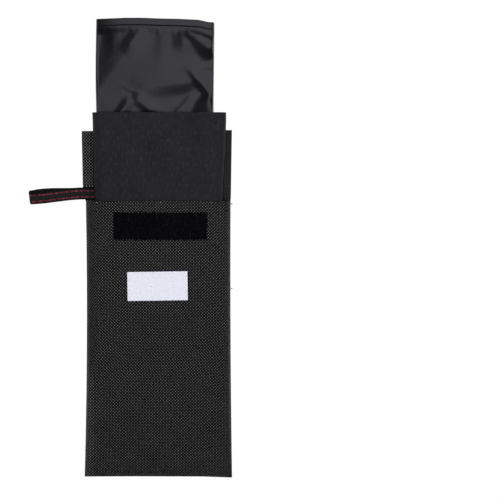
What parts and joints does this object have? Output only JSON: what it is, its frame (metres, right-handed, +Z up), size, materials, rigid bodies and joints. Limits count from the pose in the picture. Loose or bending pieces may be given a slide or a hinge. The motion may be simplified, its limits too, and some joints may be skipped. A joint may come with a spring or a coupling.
{
  "type": "insulin cooling case",
  "caption": "Flat fabric insulin cooling case with a hook-and-loop flap, a carrying strap, a sliding gel sleeve and a sliding inner bag, shown open.",
  "frame": {"origin": "centre of the pouch's back, on the flat face that it rests on", "axes": "+Z up out of the front of the case, +Y from the bottom seam to the mouth and on to the flap and inserts, +X to the right seen from the front"},
  "size_m": [0.1338, 0.3025, 0.0172],
  "materials": {
    "outer_weave": "coarse basket-weave nylon, near black",
    "webbing": "narrow black webbing with two dark red stripes",
    "loop_pile": "fuzzy loop pile, very dark",
    "hook_tape": "stiff woven tape with small hooks",
    "white_label": "smooth woven label, bare white",
    "sleeve_cloth": "fine matte plain cloth, near black",
    "liner_cloth": "fine plain lining",
    "gel_grains": "dry cooling gel grains",
    "bag_nylon": "thin shiny coated nylon"
  },
  "bodies": {
    "pouch": {"outer_back_panel": "outer_weave", "outer_front_panel": "outer_weave", "loop_patch": "loop_pile", "label": "white_label"},
    "flap_spine": {"flap_spine_panel": "outer_weave", "strap_anchor": "webbing"},
    "flap_lid": {"flap_lid_panel": "outer_weave", "hook_strip": "hook_tape"},
    "strap": {"strap_loop": "webbing"},
    "sleeve": {"sleeve_back_cloth": "sleeve_cloth", "sleeve_front_cloth": "sleeve_cloth", "sleeve_back_liner": "liner_cloth", "sleeve_front_liner": "liner_cloth", "gel_channel_back_1": "gel_grains", "gel_channel_back_2": "gel_grains", "gel_channel_back_3": "gel_grains", "gel_channel_back_4": "gel_grains", "gel_channel_front_1": "gel_grains", "gel_channel_front_2": "gel_grains", "gel_channel_front_3": "gel_grains", "gel_channel_front_4": "gel_grains"},
    "bag": {"bag_back": "bag_nylon", "bag_front": "bag_nylon", "bag_back_hem": "bag_nylon", "bag_front_hem": "bag_nylon"}
  },
  "joints": [
    {"name": "flap_fold", "type": "hinge", "parent": "pouch", "child": "flap_spine", "pos_m": [0, 0.0925, 0.0012], "axis": [1, 0, 0], "range_deg": [0, 90], "deforming": ["flap_spine_panel", "strap_anchor", "flap_lid_panel", "hook_strip"]},
    {"name": "lid_fold", "type": "hinge", "parent": "flap_spine", "child": "flap_lid", "pos_m": [0, 0.11, 0.0012], "axis": [1, 0, 0], "range_deg": [0, 90]},
    {"name": "strap_swing", "type": "hinge", "parent": "flap_spine", "child": "strap", "pos_m": [-0.0504, 0.0963, 0.0017], "axis": [0, 1, 0], "range_deg": [0, 95]},
    {"name": "sleeve_slide", "type": "slide", "parent": "pouch", "child": "sleeve", "axis": [0, -1, 0], "range_m": [-0.118, 0.0585]},
    {"name": "bag_slide", "type": "slide", "parent": "sleeve", "child": "bag", "axis": [0, -1, 0], "range_m": [-0.104, 0.062]}
  ],
  "couplings": [
    {"joint": "lid_fold", "follows": "flap_fold", "ratio": 1}
  ]
}
